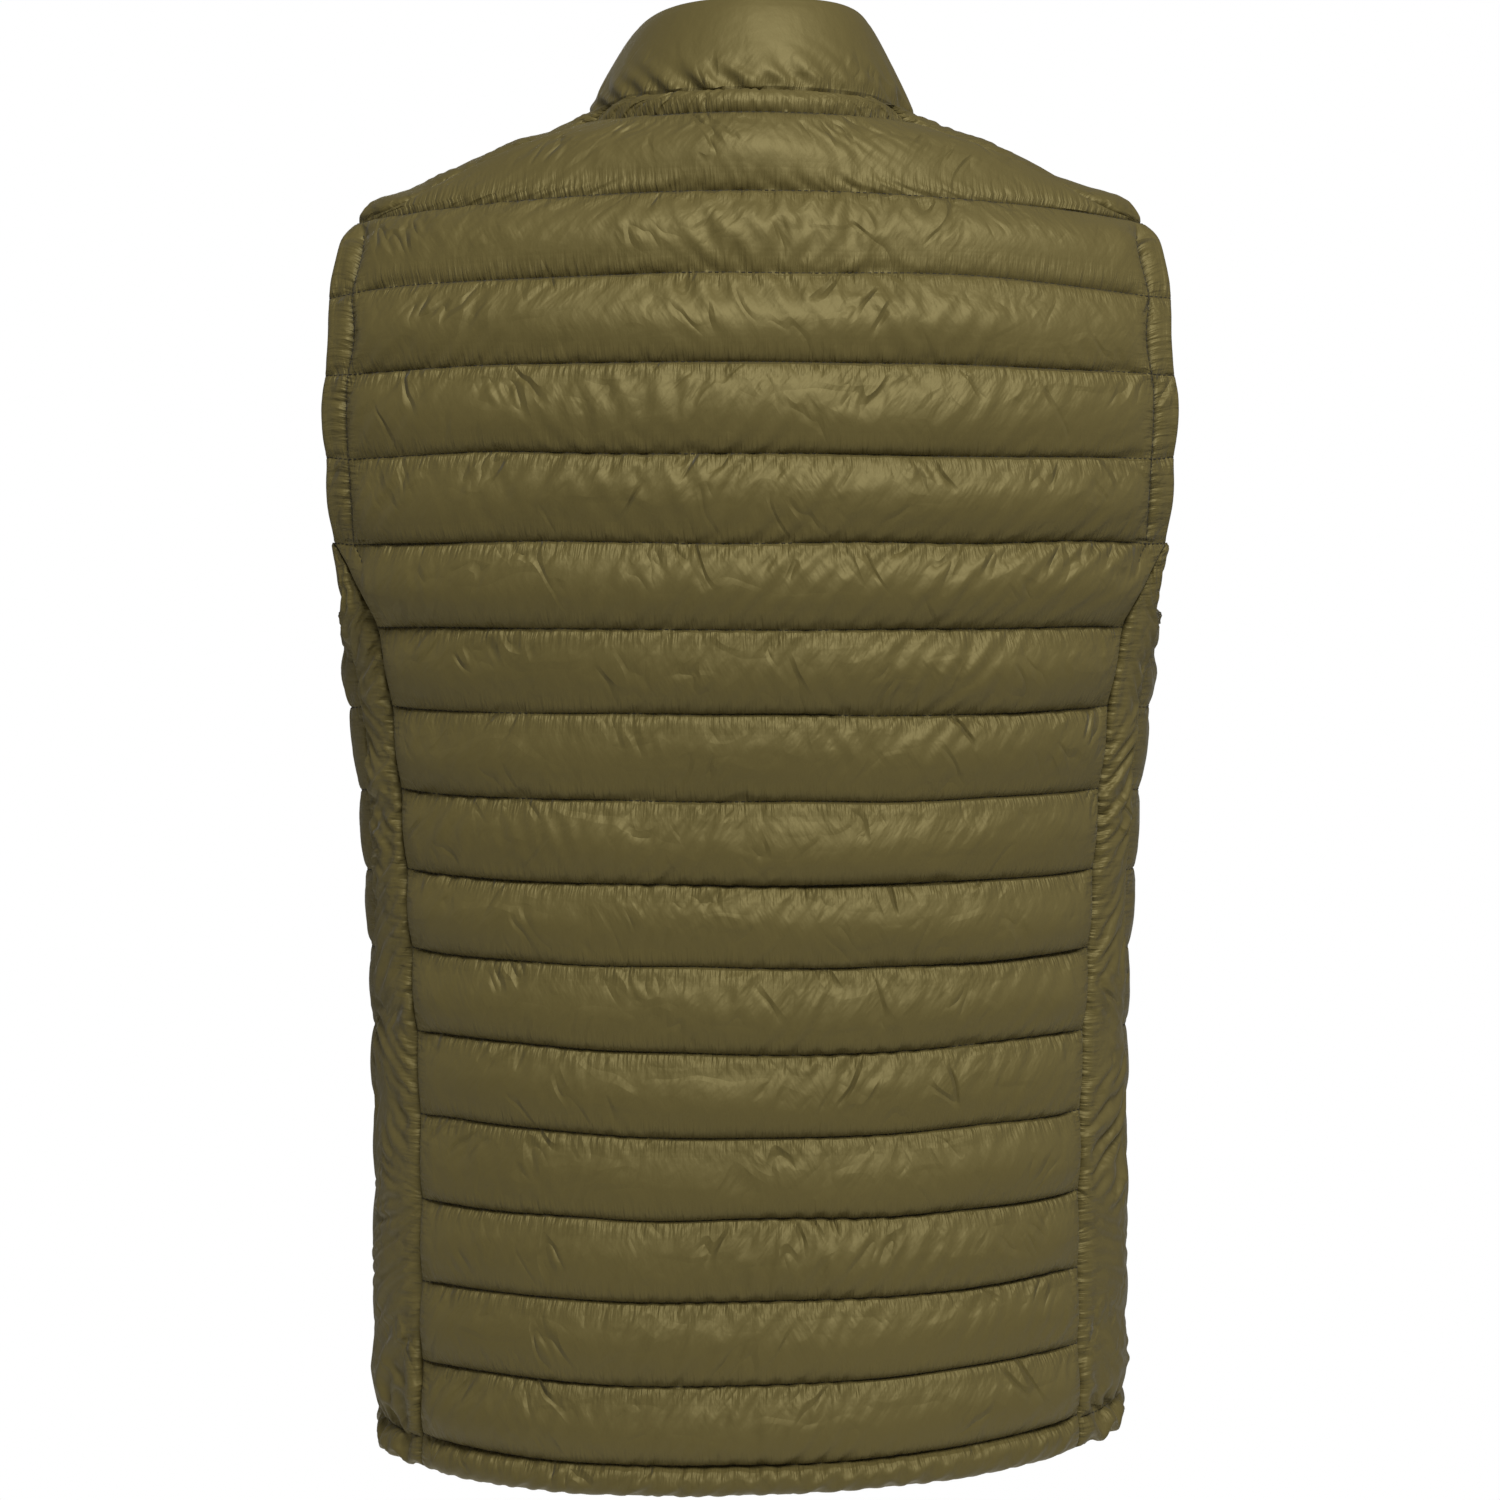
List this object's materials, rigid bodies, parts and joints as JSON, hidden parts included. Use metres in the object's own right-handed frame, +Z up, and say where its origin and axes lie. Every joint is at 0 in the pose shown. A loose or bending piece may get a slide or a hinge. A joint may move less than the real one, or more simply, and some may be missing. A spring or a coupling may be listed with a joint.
{
  "type": "puffer vest",
  "caption": "Quilted sleeveless vest with a padded stand-up collar and a full-length front zip, zipped shut in its hollow worn shape.",
  "frame": {"origin": "midway between the two shoulder ridges, at their middle height, where the vest is held", "axes": "+Z up, the front faces -Y and the back faces +Y, +X is the wearer's left"},
  "size_m": [0.4514, 0.2674, 0.7587],
  "materials": {
    "shell": "satin woven nylon, padded",
    "zip_tape": "matt woven tape",
    "zip_teeth": "matt",
    "zip_metal": "satin paint"
  },
  "bodies": {
    "vest": {"back": "shell", "side_left": "shell", "side_right": "shell", "front_left": "shell", "front_right": "shell", "shoulder_left": "shell", "shoulder_right": "shell", "collar": "shell", "zip_tape_left": "zip_tape", "zip_tape_right": "zip_tape", "zip_chain": "zip_teeth", "zip_slider": "zip_metal"},
    "pull": {"zip_pull": "zip_metal"}
  },
  "joints": [
    {"name": "pull_tab", "type": "hinge", "parent": "vest", "child": "pull", "pos_m": [0, -0.0918, -0.00339], "axis": [-1, 0, 0], "range_deg": [0, 140]}
  ]
}
